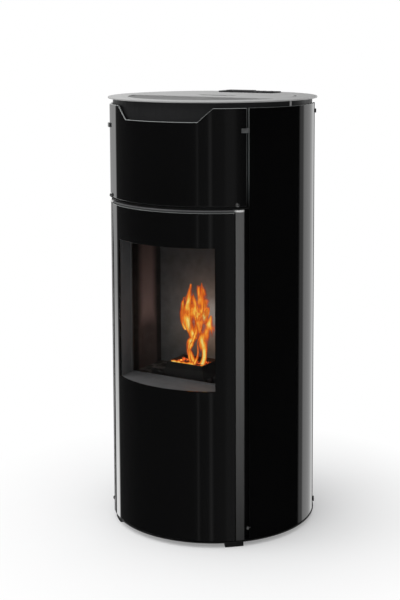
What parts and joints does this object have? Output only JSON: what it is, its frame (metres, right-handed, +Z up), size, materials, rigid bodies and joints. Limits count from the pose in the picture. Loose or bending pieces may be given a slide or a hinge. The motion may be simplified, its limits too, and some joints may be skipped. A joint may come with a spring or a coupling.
{
  "type": "pellet stove",
  "caption": "Round free-standing pellet stove clad in black glass, with a hinged curved glass door, a deep-set fire window, a flat top disc with hopper lid, and rear flue.",
  "frame": {"origin": "on the axis of the round body, at floor level under the feet", "axes": "+Z up, -Y is the front with the door and window, +X is the right-hand side of someone who faces the stove"},
  "size_m": [0.5496, 0.55, 1.1305],
  "materials": {
    "black_glass": "gloss, back-painted black",
    "black_steel": "satin black paint",
    "grey_steel": "satin dark grey paint",
    "column_steel": "satin grey metallic paint",
    "silver_paint": "satin silver paint",
    "inset_paint": "satin grey paint",
    "chrome": "polished",
    "cast_iron": "matt heat-resistant paint",
    "fire_lining": "matt, sooty",
    "ceramic_pane": "clear glass ceramic",
    "seal_rope": "woven mineral-fibre rope",
    "zinc": "zinc-plated sheet",
    "rubber": "matt black",
    "black_plastic": "fine-grained",
    "motor_case": "satin grey"
  },
  "bodies": {
    "casing": {"base_plate": "black_steel", "foot_front_left": "rubber", "foot_front_right": "rubber", "foot_rear_left": "rubber", "foot_rear_right": "rubber", "front_frame": "black_steel", "inner_shell": "grey_steel", "upper_glass_panel": "black_glass", "side_panel_left": "black_glass", "side_panel_right": "black_glass", "upper_stud_left": "chrome", "upper_stud_right": "chrome", "side_stud_left": "chrome", "side_stud_right": "chrome", "upper_clip_left": "zinc", "upper_clip_right": "zinc", "panel_rail_left": "black_steel", "panel_rail_right": "black_steel", "rear_cover": "black_steel", "top_plate": "silver_paint", "top_inset_plate": "inset_paint", "lid_hinge_pin": "zinc", "control_console": "black_plastic", "display_window": "black_glass", "firebox_front": "cast_iron", "firebox_floor": "cast_iron", "firebox_left_wall": "fire_lining", "firebox_right_wall": "fire_lining", "firebox_back_wall": "fire_lining", "firebox_roof": "cast_iron", "firebox_pedestal": "black_steel", "hopper": "zinc", "auger_tube": "zinc", "auger_gear_motor": "motor_case", "pellet_chute": "zinc", "smoke_duct": "zinc", "exhaust_fan_housing": "cast_iron", "exhaust_motor": "motor_case", "flue_spigot": "black_steel", "air_inlet_pipe": "zinc", "room_fan_housing": "zinc", "mains_inlet": "black_plastic"},
    "door": {"door_frame": "grey_steel", "door_glass": "black_glass", "window_pane": "ceramic_pane", "pane_retainer": "grey_steel", "door_seal": "seal_rope", "hinge_column": "column_steel", "grip_column": "column_steel"},
    "lid": {"hopper_lid": "silver_paint", "lid_handle": "black_steel"},
    "power_key": {"button_power": "grey_steel"},
    "down_key": {"button_down": "grey_steel"},
    "up_key": {"button_up": "grey_steel"},
    "feed_screw": {"auger_screw": "zinc"},
    "impeller": {"exhaust_impeller": "zinc"},
    "room_rotor": {"room_fan_rotor": "zinc"},
    "rocker": {"main_switch": "black_plastic"},
    "pot": {"burn_pot": "cast_iron"},
    "drawer": {"ash_drawer": "black_steel"}
  },
  "joints": [
    {"name": "door_hinge", "type": "hinge", "parent": "casing", "child": "door", "pos_m": [0.18459, -0.18523, 0.018], "axis": [0, 0, 1], "range_deg": [0, 110]},
    {"name": "lid_hinge", "type": "hinge", "parent": "casing", "child": "lid", "pos_m": [0, 0.167, 1.12], "axis": [-1, 0, 0], "range_deg": [0, 80]},
    {"name": "power_press", "type": "slide", "parent": "casing", "child": "power_key", "axis": [0, 0, -1], "range_m": [0, 0.001], "stiffness_N_per_m": 400, "springref_m": -0.0005},
    {"name": "down_press", "type": "slide", "parent": "casing", "child": "down_key", "axis": [0, 0, -1], "range_m": [0, 0.001], "stiffness_N_per_m": 400, "springref_m": -0.0005},
    {"name": "up_press", "type": "slide", "parent": "casing", "child": "up_key", "axis": [0, 0, -1], "range_m": [0, 0.001], "stiffness_N_per_m": 400, "springref_m": -0.0005},
    {"name": "screw_spin", "type": "hinge", "parent": "casing", "child": "feed_screw", "pos_m": [0, 0.1352, 0.43], "axis": [0, -0.3387, 0.9409], "continuous": true},
    {"name": "impeller_spin", "type": "hinge", "parent": "casing", "child": "impeller", "pos_m": [-0.09, 0.05, 0.15], "axis": [0, 1, 0], "continuous": true},
    {"name": "room_rotor_spin", "type": "hinge", "parent": "casing", "child": "room_rotor", "pos_m": [0.13, 0.021, 0.0575], "axis": [1, 0, 0], "continuous": true},
    {"name": "switch_rock", "type": "hinge", "parent": "casing", "child": "rocker", "pos_m": [-0.0889, 0.24885, 0.062], "axis": [0.9135, 0.4067, 0], "range_deg": [0, 16]},
    {"name": "pot_lift", "type": "slide", "parent": "casing", "child": "pot", "axis": [0, 0, 1], "range_m": [0, 0.12]},
    {"name": "drawer_slide", "type": "slide", "parent": "casing", "child": "drawer", "axis": [0, -1, 0], "range_m": [0, 0.08]}
  ]
}
